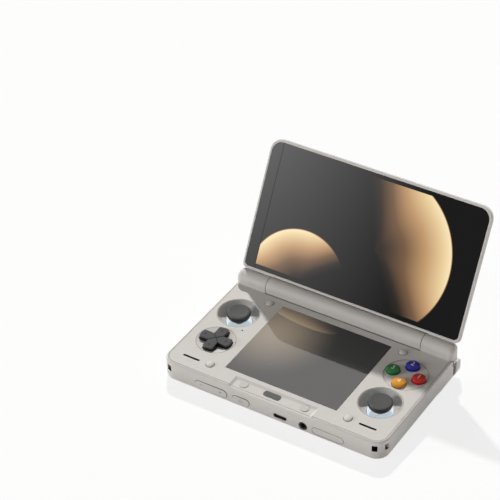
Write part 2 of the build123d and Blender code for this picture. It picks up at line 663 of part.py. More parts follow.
def knuckle_blank():
    """The middle barrel, with the corner that fills the gap to the deck when the lid stands open."""
    length = 2 * (SPLIT_X - SPLIT_GAP)
    barrel = rod_x(-length / 2, length / 2, HINGE_Y, HINGE_Z, BARREL_R)
    corner = block(-length / 2, length / 2, HINGE_Y - BARREL_R, HINGE_Y, 0.4, HINGE_Z)
    closing = Axis((0, HINGE_Y, HINGE_Z), (1, 0, 0))
    return barrel + corner.rotate(closing, LID_OPEN)


def lid_back_cover():
    """The lid's outer shell in one piece with the knuckle."""
    shell = lid_slab(LID_SPLIT_Z, LID_TOP_Z)
    shell = fillet(shell.edges().group_by(Axis.Z)[-1], LID_EDGE_R)
    shell -= lid_slab(LID_SPLIT_Z - 1, LID_TOP_Z - 1.4, LID_WALL)
    length = SPLIT_X - SPLIT_GAP
    shell += block(-length, length, LID_REAR_Y - 1.6, HINGE_Y, LID_SPLIT_Z, LID_TOP_Z)
    shell += knuckle_blank()
    shell -= rod_x(-40, 40, HINGE_Y, HINGE_Z, KNUCKLE_BORE_R)
    return shell - rod_x(-length - 1, length + 1, HINGE_Y, HINGE_Z, SHAFT_R)


def lid_frame():
    """The front frame with the raised rim that holds the upper glass."""
    frame = lid_slab(LID_RIM_Z, LID_SPLIT_Z)
    frame = fillet(frame.edges().group_by(Axis.Z)[0], 0.4)
    x_half, y0, y1, far_r, heel_r = UPPER_GLASS
    frame -= rounded_prism(x_half, y0, y1, LID_RIM_Z - 1, LID_FACE_Z + GLASS_T, far_r, heel_r)
    return frame - rounded_prism(70.0, -43.5, 30.2, 0, 6, 1.0, 1.0)


def upper_glass():
    x_half, y0, y1, far_r, heel_r = UPPER_GLASS
    return rounded_prism(x_half - FIT, y0 + FIT, y1 - FIT, LID_FACE_Z, LID_FACE_Z + GLASS_T, far_r - FIT, heel_r - FIT)


def upper_display_panel():
    return block(-69.0, 69.0, -43.0, 30.0, LID_FACE_Z + GLASS_T, LID_FACE_Z + GLASS_T + 1.9)


def hinge_shaft(side):
    """The shaft fixed in the knuckle and turning in the friction unit."""
    return to_right(rod_x(41.0, 63.6, HINGE_Y, HINGE_Z, SHAFT_R), side)


def display_ribbon():
    """The rolled flat cable between the halves, inside the hollow knuckle."""
    return rod_x(-34, 34, HINGE_Y, HINGE_Z, 2.4) - rod_x(-36, 36, HINGE_Y, HINGE_Z, 2.0)


# ---------------------------------------------------------------- assembly
def base_nodes():
    nodes = {
        "bottom_cover": bottom_cover(),
        "deck_cover": deck_cover(),
        "lower_glass": lower_glass(),
        "lower_display_panel": lower_display_panel(),
        "front_plate": front_plate(),
        "bumper_pads": bumper_pads(),
        "rubber_feet": rubber_feet(),
        "case_screws": case_screws(),
        "mainboard": mainboard(),
        "heat_spreader": heat_spreader(),
        "fan_housing": fan_housing(),
        "fan_rotor": fan_rotor(),
        "battery": battery(),
        "dpad": dpad(),
        "dpad_pivot": dpad_pivot(),
        "dpad_membrane": dpad_membrane(),
        "face_button_membrane": face_button_membrane(),
        "volume_rocker": front_key(VOLUME, FRONT_Y + WALL + 0.8),
        "power_key": front_key(POWER, FRONT_Y + WALL + 0.2),
        "card_door": card_door(),
        "card_reader": card_reader(),
        "usb_c_socket": usb_c_socket(),
        "audio_jack": audio_jack(),
        "trigger_pins": trigger_pins(),
        "shoulder_pins": shoulder_pins(),
    }
    for number, place in enumerate(face_positions(), 1):
        nodes[f"face_button_{number}"] = face_button(*place)
    for name, place in SMALL_BUTTONS.items():
        nodes[name] = small_button(*place)
    for side, word, place in ((-1, "left", UPPER_STICK), (1, "right", LOWER_STICK)):
        nodes[f"stick_module_{word}"] = stick_module(*place)
        nodes[f"stick_gimbal_{word}"] = stick_gimbal(*place)
        nodes[f"stick_stem_{word}"] = stick_stem(*place)
        nodes[f"stick_cap_{word}"] = stick_cap(*place)
        nodes[f"light_ring_{word}"] = light_ring(*place)
        nodes[f"speaker_{word}"] = speaker(side)
        nodes[f"hinge_unit_{word}"] = hinge_unit(side)
        nodes[f"shoulder_{word}"] = shoulder(side)
        nodes[f"trigger_{word}"] = trigger(side)
    return nodes


def lid_nodes():
    nodes = {
        "lid_back_cover": lid_back_cover(),
        "lid_frame": lid_frame(),
        "upper_glass": upper_glass(),
        "upper_display_panel": upper_display_panel(),
        "hinge_shaft_left": hinge_shaft(-1),
        "hinge_shaft_right": hinge_shaft(1),
        "display_ribbon": display_ribbon(),
    }
    opening = Axis((0, HINGE_Y, HINGE_Z), (-1, 0, 0))
    return {name: solid.rotate(opening, LID_OPEN) for name, solid in nodes.items()}


def main():
    os.makedirs("parts", exist_ok=True)
    leaning = {name: Rot(LEAN, 0, 0) * solid for name, solid in {**base_nodes(), **lid_nodes()}.items()}
    boxes = [solid.bounding_box() for solid in leaning.values()]
    low_y, high_y = min(b.min.Y for b in boxes), max(b.max.Y for b in boxes)
    shift = Pos(0, -(low_y + high_y) / 2, -min(b.min.Z for b in boxes))
    print("lean", round(LEAN, 5), "shift y, z", round(shift.position.Y, 4), round(shift.position.Z, 4))
    for name, solid in leaning.items():
        export_step(shift * solid, f"parts/{name}.step")


main()
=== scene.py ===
# %% [markdown]
# # A clamshell handheld console, dressed for its portrait
#
# The solids of this console come from a CAD model: two hinged halves, keys, sticks, screens and what
# they hold. This notebook loads them as a fixed frame and gives every piece its finish. Where a solid
# is too plain to be looked at closely, a finer mesh takes its place, at the very same spot.
#
# Everything is in metres. The console stands on z = 0, x runs to the player's right, y away from them.

import math

import bmesh
import bpy
from mathutils import Matrix, Vector


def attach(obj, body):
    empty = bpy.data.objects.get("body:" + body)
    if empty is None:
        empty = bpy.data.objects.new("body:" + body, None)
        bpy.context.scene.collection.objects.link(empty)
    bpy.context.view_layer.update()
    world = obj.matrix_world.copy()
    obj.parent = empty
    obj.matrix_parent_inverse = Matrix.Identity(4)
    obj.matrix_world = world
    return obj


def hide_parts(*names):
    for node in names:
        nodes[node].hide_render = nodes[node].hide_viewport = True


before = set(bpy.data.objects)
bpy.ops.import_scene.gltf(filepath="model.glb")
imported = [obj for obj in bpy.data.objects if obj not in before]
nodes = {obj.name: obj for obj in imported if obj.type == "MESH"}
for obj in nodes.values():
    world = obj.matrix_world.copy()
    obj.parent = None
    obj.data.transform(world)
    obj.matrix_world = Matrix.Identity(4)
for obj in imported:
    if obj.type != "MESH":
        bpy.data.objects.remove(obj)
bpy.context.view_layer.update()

# %% [markdown]
# ## Two drawing boards
#
# A designer draws this console on its deck, the surface with the keys, and draws the lid shut on top of
# it. The finished one stands a little nose down, and its lid is open. So a piece is easiest to make in
# millimetres on the deck, or on the shut lid, and one matrix then carries it to its real place. The two
# matrices below repeat what the CAD model did.

# %% From drawing board to real place
LEAN = math.radians(3.47992)
HINGE = Vector((0, 40.4, 3.2))
LID_OPEN = math.radians(118.6)
DECK = Matrix.Translation((0, -0.0167261, 0.0169794)) @ Matrix.Rotation(LEAN, 4, "X") @ Matrix.Scale(0.001, 4)
LID = DECK @ Matrix.Translation(HINGE) @ Matrix.Rotation(-LID_OPEN, 4, "X") @ Matrix.Translation(-HINGE)
print("top edge of the open lid, mm:", [round(1000 * c, 1) for c in LID @ Vector((0, -48.5, 8.3))])

# %% [markdown]
# ## Camera
#
# The portrait was taken from above and to the right with a long lens, so the console hardly tapers. A
# camera could be aimed by eye, but a measured one lets the render be laid over the portrait: its place,
# angle and focal length were worked out once from the corners of the two screens.

# %% The portrait's camera
AZIMUTH, ELEVATION, ROLL = (math.radians(a) for a in (31.818, 34.571, 0.413))
back = Vector((math.sin(AZIMUTH) * math.cos(ELEVATION), -math.cos(AZIMUTH) * math.cos(ELEVATION), math.sin(ELEVATION)))
camera = bpy.data.objects.new("portrait_camera", bpy.data.cameras.new("portrait_camera"))
bpy.context.scene.collection.objects.link(camera)
camera.data.sensor_width = 36.0
camera.data.lens = 36.0 * 2035 / 500
camera.matrix_world = (
    Matrix.Translation((0.47288, -0.8484913, 0.7503574))
    @ back.to_track_quat("Z", "Y").to_matrix().to_4x4()
    @ Matrix.Rotation(ROLL, 4, "Z")
)
bpy.context.scene.camera = camera
bpy.context.scene.view_settings.view_transform = "Standard"
print("lens", round(camera.data.lens, 1), "mm, from", round(camera.location.length, 3), "m")

# %% [markdown]
# ## Colours and nodes
#
# A paint code such as #D0CCC7 is written for a screen, and Blender's shaders want linear light, so one
# function turns the one into the other. One more function adds a node with its settings and links. Each
# material after that is a short list of such nodes.

# %% One function for colours, one for nodes
def linear(code):
    parts = [int(code[i : i + 2], 16) / 255 for i in (1, 3, 5)]
    return tuple(c / 12.92 if c <= 0.04045 else ((c + 0.055) / 1.055) ** 2.4 for c in parts) + (1.0,)


def add(tree, kind, inputs=None, **settings):
    made = tree.nodes.new(kind)
    for name, value in settings.items():
        setattr(made, name, value)
    for key, value in (inputs or {}).items():
        if isinstance(value, bpy.types.NodeSocket):
            tree.links.new(value, made.inputs[key])
        else:
            made.inputs[key].default_value = value
    return made


print("warm grey in linear light:", [round(c, 3) for c in linear("#D0CCC7")])

# %% [markdown]
# ## Moulded plastic
#
# The shell is ABS, moulded in a steel tool whose walls were spark eroded, so its skin is a fine, even
# grain that turns a highlight into a soft sheen. Nothing about it is one flat value: the pigment
# clouds a little over a few millimetres and the grain varies the gloss. A noise texture gives the
# clouds, a finer one the grain. The real grain is near 0.1 mm and would vanish in the portrait, so it
# is drawn coarser, at the size given here in millimetres.

# %% A family of moulded plastics
def moulded(name, colour, darker, roughness, grain_mm, grain_height_mm, ior=1.53, coat=0.0, mirror=0.5):
    material = bpy.data.materials.new(name)
    material.use_nodes = True
    tree = material.node_tree
    shader = tree.nodes["Principled BSDF"]
    place = add(tree, "ShaderNodeTexCoord").outputs["Object"]
    clouds = add(tree, "ShaderNodeTexNoise", {"Vector": place, "Scale": 1 / 0.006, "Detail": 3.0})
    grain = add(tree, "ShaderNodeTexNoise", {"Vector": place, "Scale": 1000 / grain_mm, "Detail": 2.0})
    pigment = add(tree, "ShaderNodeMix", {0: clouds.outputs["Fac"], 6: linear(colour), 7: linear(darker)}, data_type="RGBA")
    gloss = add(tree, "ShaderNodeMapRange", {"Value": grain.outputs["Fac"], "To Min": roughness - 0.06, "To Max": roughness + 0.06})
    bump = add(tree, "ShaderNodeBump", {"Height": grain.outputs["Fac"], "Strength": 1.0, "Distance": grain_height_mm / 1000})
    tree.links.new(pigment.outputs[2], shader.inputs["Base Color"])
    tree.links.new(gloss.outputs["Result"], shader.inputs["Roughness"])
    tree.links.new(bump.outputs["Normal"], shader.inputs["Normal"])
    shader.inputs["IOR"].default_value = ior
    shader.inputs["Specular IOR Level"].default_value = mirror
    shader.inputs["Coat Weight"].default_value = coat
    shader.inputs["Coat Roughness"].default_value = 0.08
    return material


# Spark-eroded ABS: the eye sees a dry, even, warm grey with a soft sheen towards the light.
shell_abs = moulded("spark_eroded_ABS_warm_grey", "#D2CEC9", "#CCC8C2", 0.46, 0.7, 0.010)
# The same plastic on the keys, polished by the tool a little more.
key_abs = moulded("satin_ABS_keys", "#D4D1CC", "#CECAC5", 0.36, 0.6, 0.005)
# Dark plate in the front strip: satin polycarbonate.
plate_pc = moulded("satin_polycarbonate_graphite", "#5A5C58", "#525450", 0.42, 0.5, 0.006, ior=1.58)
# Rubber bumpers, thermoplastic elastomer: like the shell, but duller and softer.
bumper_tpe = moulded("elastomer_pale_grey", "#C9C6C1", "#C2BFBA", 0.62, 0.5, 0.010, ior=1.5)
foot_rubber = moulded("silicone_rubber_grey", "#5B5A58", "#525150", 0.7, 0.5, 0.012, ior=1.45)
membrane_rubber = moulded("silicone_membrane_black", "#2A2A2A", "#222222", 0.6, 0.5, 0.008, ior=1.45)
# Thumb caps and cross key: soft-touch polycarbonate, a dense charcoal whose sheen spreads wide.
cap_pc = moulded("soft_touch_polycarbonate_charcoal", "#4C4D4C", "#454645", 0.52, 0.55, 0.012, ior=1.58)
# The caps' skirts: coloured near black, far darker than their pads.
skirt_pc = moulded("cap_skirt_near_black", "#262726", "#202120", 0.48, 0.55, 0.012, ior=1.58, mirror=0.35)
cross_pc = moulded("satin_polycarbonate_charcoal", "#3A3B3A", "#343534", 0.36, 0.55, 0.008, ior=1.58)
# Coloured keys: acrylic moulded in a polished tool, deep colour under a wet-looking gloss.
acrylic_red = moulded("acrylic_red", "#CC1818", "#C21414", 0.3, 0.8, 0.002, ior=1.49, coat=0.08, mirror=0.3)
acrylic_blue = moulded("acrylic_blue", "#11169C", "#0E1290", 0.3, 0.8, 0.002, ior=1.49, coat=0.08, mirror=0.3)
acrylic_green = moulded("acrylic_green", "#107530", "#0E6B2B", 0.3, 0.8, 0.002, ior=1.49, coat=0.08, mirror=0.3)
acrylic_yellow = moulded("acrylic_amber", "#E29A33", "#DB922C", 0.3, 0.8, 0.002, ior=1.49, coat=0.08, mirror=0.3)
# Inner plastics, seen only through slots: glass-filled nylon, dark and matt.
inner_nylon = moulded("glass_filled_nylon_black", "#232323", "#1B1B1B", 0.6, 0.5, 0.010)
cell_film = moulded("polyester_film_over_cell", "#33343A", "#2D2E33", 0.35, 0.9, 0.004)
solder_mask = moulded("solder_mask_on_FR4", "#14432B", "#103A25", 0.3, 0.9, 0.004)
jack_nylon = moulded("nylon_jack_black", "#0E0E0E", "#090909", 0.6, 0.5, 0.008)
print(len(bpy.data.materials), "materials so far")

# %% [markdown]
# ## Deep places
#
# Real holes are dark because light gets lost in them. The strap holes at the front corners, the slots before the
# shoulder keys, those over the speakers and the microphone's hole are only a millimetre or two wide, too narrow for the
# portrait to show that loss well. So their shade is painted: the shell's material is told where they are, in
# millimetres on the deck's drawing board, and turns nearly black inside them. The gap in front of each trigger gets the
# same painted shade.

# %% Boxes and bores in which shade is painted into the shell
to_deck = DECK.inverted()


def deck_place(tree):
    """The shaded point on the deck's drawing board, the left half folded onto the right."""
    place = add(tree, "ShaderNodeTexCoord").outputs["Object"]
    board = add(
        tree,
        "ShaderNodeMapping",
        {"Vector": place, "Location": to_deck.translation, "Rotation": to_deck.to_euler(), "Scale": (1000, 1000, 1000)},
    )
    axes = add(tree, "ShaderNodeSeparateXYZ", {0: board.outputs[0]})
    right = add(tree, "ShaderNodeMath", {0: axes.outputs["X"]}, operation="ABSOLUTE").outputs[0]
    return board.outputs[0], add(tree, "ShaderNodeCombineXYZ", {0: right, 1: axes.outputs["Y"], 2: axes.outputs["Z"]}).outputs[0]


def in_box(tree, place, low, high):
    """1 inside a box, else 0."""
    low, high = Vector(low), Vector(high)
    off = add(tree, "ShaderNodeVectorMath", {0: place, 1: (low + high) / 2}, operation="SUBTRACT").outputs[0]
    off = add(tree, "ShaderNodeVectorMath", {0: off}, operation="ABSOLUTE").outputs[0]
    off = add(tree, "ShaderNodeVectorMath", {0: off, 1: (high - low) / 2}, operation="SUBTRACT").outputs[0]
    axes = add(tree, "ShaderNodeSeparateXYZ", {0: off})
    most = add(tree, "ShaderNodeMath", {0: axes.outputs["X"], 1: axes.outputs["Y"]}, operation="MAXIMUM").outputs[0]
    most = add(tree, "ShaderNodeMath", {0: most, 1: axes.outputs["Z"]}, operation="MAXIMUM").outputs[0]
    return add(tree, "ShaderNodeMath", {0: most, 1: 0.0}, operation="LESS_THAN").outputs[0]


def in_bore(tree, place, centre, radius, top):
    """1 inside an upright cylinder that ends at the height `top`, else 0."""
    off = add(tree, "ShaderNodeVectorMath", {0: place, 1: (*centre, 0)}, operation="SUBTRACT").outputs[0]
    flat = add(tree, "ShaderNodeVectorMath", {0: off, 1: (1, 1, 0)}, operation="MULTIPLY").outputs[0]
    away = add(tree, "ShaderNodeVectorMath", {0: flat}, operation="LENGTH").outputs["Value"]
    near = add(tree, "ShaderNodeMath", {0: away, 1: radius}, operation="LESS_THAN").outputs[0]
    height = add(tree, "ShaderNodeSeparateXYZ", {0: off}).outputs["Z"]
    under = add(tree, "ShaderNodeMath", {0: height, 1: top}, operation="LESS_THAN").outputs[0]
    return add(tree, "ShaderNodeMath", {0: near, 1: under}, operation="MULTIPLY").outputs[0]


STICKS = {"left": (-57.7, 11.0), "right": (56.0, -16.8)}
tree = shell_abs.node_tree
shader = tree.nodes["Principled BSDF"]
place, folded = deck_place(tree)
dark = in_box(tree, folded, (67.9, -50.0, -7.1), (70.7, -40.9, -3.2))
for low, high in (
    ((67.9, -43.3, -7.1), (80.0, -40.9, -3.2)),
    ((74.2, 37.5, -20.0), (76.0, 41.7, -5.2)),
    ((54.2, 36.4, -4.3), (74.9, 38.6, -0.6)),
    ((53.9, -39.0, -3.0), (65.6, -37.4, -0.15)),
):
    dark = add(tree, "ShaderNodeMath", {0: dark, 1: in_box(tree, folded, low, high)}, operation="MAXIMUM").outputs[0]
bore = in_bore(tree, place, (-47.0, -2.0), 0.62, -0.02)
dark = add(tree, "ShaderNodeMath", {0: dark, 1: bore}, operation="MAXIMUM").outputs[0]
# Painted shade: inside these boxes and bores the shell's colour turns near black.
pigment = shader.inputs["Base Color"].links[0].from_socket
pigment = add(tree, "ShaderNodeMix", {0: dark, 6: pigment, 7: linear("#131312")}, data_type="RGBA").outputs[2]
tree.links.new(pigment, shader.inputs["Base Color"])
print("the shell's material has", len(tree.nodes), "nodes")

# %% Grooves and skirts of the cross key
# Two fine grooves cross its middle. Shade is painted into them and onto its upright sides, which turn near black below
# its top.
DISH = (-55.9, -17.3)
tree = cross_pc.node_tree
shader = tree.nodes["Principled BSDF"]
place, _ = deck_place(tree)
off = add(tree, "ShaderNodeVectorMath", {0: place, 1: (*DISH, 0)}, operation="SUBTRACT").outputs[0]
off = add(tree, "ShaderNodeVectorMath", {0: off}, operation="ABSOLUTE").outputs[0]
axes = add(tree, "ShaderNodeSeparateXYZ", {0: off})
across = add(tree, "ShaderNodeMath", {0: axes.outputs["X"], 1: axes.outputs["Y"]}, operation="SUBTRACT").outputs[0]
across = add(tree, "ShaderNodeMath", {0: across}, operation="ABSOLUTE").outputs[0]
groove_shade = add(tree, "ShaderNodeMapRange", {"Value": across, "From Min": 0.62, "From Max": 0.3}).outputs["Result"]
height = add(tree, "ShaderNodeSeparateXYZ", {0: place}).outputs["Z"]
side_shade = add(tree, "ShaderNodeMapRange", {"Value": height, "From Min": 1.6, "From Max": 1.1}).outputs["Result"]
low = add(tree, "ShaderNodeMath", {0: groove_shade, 1: side_shade}, operation="MAXIMUM").outputs[0]
# Painted shade: the grooves and the sides below the top are mixed towards near black.
pigment = shader.inputs["Base Color"].links[0].from_socket
pigment = add(tree, "ShaderNodeMix", {0: low, 6: pigment, 7: linear("#151515")}, data_type="RGBA").outputs[2]
tree.links.new(pigment, shader.inputs["Base Color"])
print("the cross key's material has", len(tree.nodes), "nodes")

# %% [markdown]
# ## Metals
#
# Pins and hinge units are ground steel, the socket is drawn stainless sheet, its contacts are gold
# plated, and the heat spreader is copper. Grinding and drawing leave fine lines along one direction, so
# the noise is stretched: many lines across, hardly any change along.

# %% A family of drawn or ground metals
def drawn_metal(name, colour, roughness, line_mm, along=(0.02, 1.0, 1.0)):
    material = bpy.data.materials.new(name)
    material.use_nodes = True
    tree = material.node_tree
    shader = tree.nodes["Principled BSDF"]
    place = add(tree, "ShaderNodeTexCoord").outputs["Object"]
    stretched = add(tree, "ShaderNodeMapping", {"Vector": place, "Scale": along})
    lines = add(tree, "ShaderNodeTexNoise", {"Vector": stretched.outputs[0], "Scale": 1000 / line_mm, "Detail": 2.0})
    gloss = add(tree, "ShaderNodeMapRange", {"Value": lines.outputs["Fac"], "To Min": roughness - 0.08, "To Max": roughness + 0.08})
    bump = add(tree, "ShaderNodeBump", {"Height": lines.outputs["Fac"], "Strength": 0.6, "Distance": 0.000004})
    tree.links.new(gloss.outputs["Result"], shader.inputs["Roughness"])
    tree.links.new(bump.outputs["Normal"], shader.inputs["Normal"])
    shader.inputs["Base Color"].default_value = linear(colour)
    shader.inputs["Metallic"].default_value = 1.0
    return material


ground_steel = drawn_metal("ground_steel", "#B9B8B5", 0.28, 0.25)
stainless_sheet = drawn_metal("drawn_stainless_sheet", "#8F8D89", 0.3, 0.3)
gold_plate = drawn_metal("gold_plating", "#E3BE6B", 0.2, 0.3)
copper_sheet = drawn_metal("rolled_copper", "#C98A66", 0.3, 0.3)
print("metals:", ground_steel.name, stainless_sheet.name, gold_plate.name, copper_sheet.name)

# %% [markdown]
# ## The upper screen
#
# A switched-on display is a light that the glass in front hardly dims, and the glass itself mirrors the room a little,
# less than a window does, because it is coated against reflections. Here glass and picture are bonded, so they are one
# surface: a near-black gloss that also glows. The picture is plain maths on the lid's drawing board, two large discs
# lit along one edge like moons, in warm gold on charcoal. Over picture and border, a grey painted reflection of the
# room glows as well. A Mapping node carries a point of the real lid back to that drawing board, in millimetres.

# %% Glass over a lit picture
upper_screen = bpy.data.materials.new("coated_glass_over_lit_display")
upper_screen.use_nodes = True
tree = upper_screen.node_tree
shader = tree.nodes["Principled BSDF"]
to_lid = LID.inverted()
place = add(tree, "ShaderNodeTexCoord").outputs["Object"]
board = add(
    tree,
    "ShaderNodeMapping",
    {"Vector": place, "Location": to_lid.translation, "Rotation": to_lid.to_euler(), "Scale": (1000, 1000, 1000)},
)
axes = add(tree, "ShaderNodeSeparateXYZ", {0: board.outputs[0]})


def limb(centre, radius, fade, light_angle):
    """A disc's lit edge: bright at the rim on the light's side, fading over `fade` mm towards its middle."""
    from_centre = add(tree, "ShaderNodeVectorMath", {0: board.outputs[0], 1: (*centre, 0)}, operation="SUBTRACT")
    flat = add(tree, "ShaderNodeVectorMath", {0: from_centre.outputs[0], 1: (1, 1, 0)}, operation="MULTIPLY")
    distance = add(tree, "ShaderNodeVectorMath", {0: flat.outputs[0]}, operation="LENGTH").outputs["Value"]
    inwards = add(tree, "ShaderNodeMapRange", {"Value": distance, "From Min": radius - fade, "From Max": radius}).outputs["Result"]
    glow = add(tree, "ShaderNodeMath", {0: inwards, 1: 1.6}, operation="POWER").outputs[0]
    edge = add(tree, "ShaderNodeMapRange", {"Value": distance, "From Min": radius + 0.9, "From Max": radius}).outputs["Result"]
    unit = add(tree, "ShaderNodeVectorMath", {0: flat.outputs[0]}, operation="NORMALIZE").outputs[0]
    towards = (math.cos(light_angle), math.sin(light_angle), 0)
    facing = add(tree, "ShaderNodeVectorMath", {0: unit, 1: towards}, operation="DOT_PRODUCT").outputs["Value"]
    side = add(tree, "ShaderNodeMapRange", {"Value": facing, "From Min": 0.05, "From Max": 0.95}, interpolation_type="SMOOTHSTEP")
    lit = add(tree, "ShaderNodeMath", {0: glow, 1: side.outputs["Result"]}, operation="MULTIPLY").outputs[0]
    return add(tree, "ShaderNodeMath", {0: lit, 1: edge}, operation="MULTIPLY").outputs[0]


# On the shut lid the picture's right is +x and its top is -y.
big = limb((8, -2), 50, 58, math.radians(-25))
small = limb((-37, 34), 33, 36, math.radians(-118))
both = add(tree, "ShaderNodeMath", {0: big, 1: small}, operation="MAXIMUM").outputs[0]
glow_colours = add(tree, "ShaderNodeValToRGB", {0: both})
ramp = glow_colours.color_ramp
ramp.elements[0].position, ramp.elements[0].color = 0.0, (0, 0, 0, 1)
ramp.elements[1].position, ramp.elements[1].color = 1.0, linear("#F8E6B8")
for position, code in ((0.10, "#2A2019"), (0.32, "#75583F"), (0.6, "#C39A6E"), (0.85, "#E8CB9A")):
    step = ramp.elements.new(position)
    step.color = linear(code)
half = add(tree, "ShaderNodeMath", {0: axes.outputs["X"]}, operation="ABSOLUTE").outputs[0]
inside_x = add(tree, "ShaderNodeMath", {0: half, 1: 66.4}, operation="LESS_THAN").outputs[0]
middle = add(tree, "ShaderNodeMath", {0: axes.outputs["Y"], 1: 6.85}, operation="ADD").outputs[0]
tall = add(tree, "ShaderNodeMath", {0: middle}, operation="ABSOLUTE").outputs[0]
inside_y = add(tree, "ShaderNodeMath", {0: tall, 1: 37.4}, operation="LESS_THAN").outputs[0]
shown = add(tree, "ShaderNodeMath", {0: inside_x, 1: inside_y}, operation="MULTIPLY").outputs[0]
masked = add(tree, "ShaderNodeMix", {0: shown, 6: (0.0, 0.0, 0.0, 1), 7: glow_colours.outputs[0]}, data_type="RGBA")
# A grey painted reflection of the room glows over picture and black border alike: strongest at the top left, gone
# towards the right, and weaker on a thin line at the picture's edge.
across = add(tree, "ShaderNodeMapRange", {"Value": axes.outputs["X"], "From Min": -74, "From Max": 34, "To Min": 0.112, "To Max": 0.0})
down = add(tree, "ShaderNodeMapRange", {"Value": axes.outputs["Y"], "From Min": -47, "From Max": 33, "To Min": 1.1, "To Max": 0.55})
painted_reflection = add(tree, "ShaderNodeMath", {0: across.outputs[0], 1: down.outputs[0]}, operation="MULTIPLY").outputs[0]
rim = add(tree, "ShaderNodeMath", {0: half, 1: 66.7}, operation="SUBTRACT").outputs[0]
rim = add(tree, "ShaderNodeMath", {0: rim}, operation="ABSOLUTE").outputs[0]
line = add(tree, "ShaderNodeMapRange", {"Value": rim, "From Min": 0.1, "From Max": 0.5, "To Min": 0.55, "To Max": 1.0})
painted_reflection = add(tree, "ShaderNodeMath", {0: painted_reflection, 1: line.outputs[0]}, operation="MULTIPLY").outputs[0]
grey = add(tree, "ShaderNodeCombineColor", {0: painted_reflection, 1: painted_reflection, 2: painted_reflection})
picture = add(tree, "ShaderNodeMix", {0: 1.0, 6: masked.outputs[2], 7: grey.outputs[0]}, data_type="RGBA", blend_type="ADD")
tree.links.new(picture.outputs[2], shader.inputs["Emission Color"])
shader.inputs["Emission Strength"].default_value = 1.0
shader.inputs["Base Color"].default_value = linear("#0A0A0A")
shader.inputs["Roughness"].default_value = 0.04
shader.inputs["IOR"].default_value = 1.5
shader.inputs["Specular IOR Level"].default_value = 0.12
print("picture area 132.8 x 74.8 mm, drawn by", len(tree.nodes), "nodes")

# %% [markdown]
# ## The lower screen
#
# This one is dimmed. Under its cover glass lies a liquid crystal panel, whose reflective film turns it
# into a dim grey mirror: it shows the dark upper screen, and in front of that the bright room. Only one
# soft warm spot of its own picture still glows, again plain maths: bright in its middle and gone at 42 mm.

# %% Glass over a dimmed panel
lower_screen = bpy.data.materials.new("glass_over_dimmed_LCD")
lower_screen.use_nodes = True
tree = lower_screen.node_tree
shader = tree.nodes["Principled BSDF"]
place = add(tree, "ShaderNodeTexCoord").outputs["Object"]
ripple = add(tree, "ShaderNodeTexNoise", {"Vector": place, "Scale": 1 / 0.020, "Detail": 1.0})
gloss = add(tree, "ShaderNodeMapRange", {"Value": ripple.outputs["Fac"], "To Min": 0.02, "To Max": 0.04})
tree.links.new(gloss.outputs["Result"], shader.inputs["Roughness"])
board, _ = deck_place(tree)
off = add(tree, "ShaderNodeVectorMath", {0: board, 1: (-30, 5, 0)}, operation="SUBTRACT").outputs[0]
away = add(tree, "ShaderNodeVectorMath", {0: off}, operation="LENGTH").outputs["Value"]
spot = add(
    tree,
    "ShaderNodeMapRange",
    {"Value": away, "From Min": 42, "From Max": 0, "To Min": 0.0, "To Max": 0.22},
    interpolation_type="SMOOTHSTEP",
)
warm = add(tree, "ShaderNodeMix", {0: 1.0, 6: linear("#FFE6C4"), 7: spot.outputs[0]}, data_type="RGBA", blend_type="MULTIPLY")
tree.links.new(warm.outputs[2], shader.inputs["Emission Color"])
shader.inputs["Emission Strength"].default_value = 1.0
shader.inputs["Base Color"].default_value = linear("#6A6968")
shader.inputs["Metallic"].default_value = 0.85
shader.inputs["IOR"].default_value = 1.5
print("the dimmed panel mirrors about", round(linear("#6A6968")[0], 2), "of the light")

# %% [markdown]
# ## Light guide
#
# A ring of frosted polycarbonate glows at the foot of each stick, lit from below by small lamps. It is cool white, a
# little brighter in soft patches.

# %% A glowing ring
light_guide = bpy.data.materials.new("frosted_polycarbonate_lit")
light_guide.use_nodes = True
tree = light_guide.node_tree
shader = tree.nodes["Principled BSDF"]
place = add(tree, "ShaderNodeTexCoord").outputs["Object"]
patches = add(tree, "ShaderNodeTexNoise", {"Vector": place, "Scale": 1 / 0.004, "Detail": 1.0})
tint = add(tree, "ShaderNodeMix", {0: patches.outputs["Fac"], 6: linear("#C0D2DE"), 7: linear("#DAE6EC")}, data_type="RGBA")
tree.links.new(tint.outputs[2], shader.inputs["Emission Color"])
shader.inputs["Base Color"].default_value = linear("#A3B0B8")
shader.inputs["Emission Strength"].default_value = 0.68
shader.inputs["Roughness"].default_value = 0.4
shader.inputs["IOR"].default_value = 1.58
print("light guide emits at", shader.inputs["Emission Strength"].default_value)

# %% [markdown]
# ## Dress the solids that stay
#
# Most solids have their final shape already. They only swap their material.

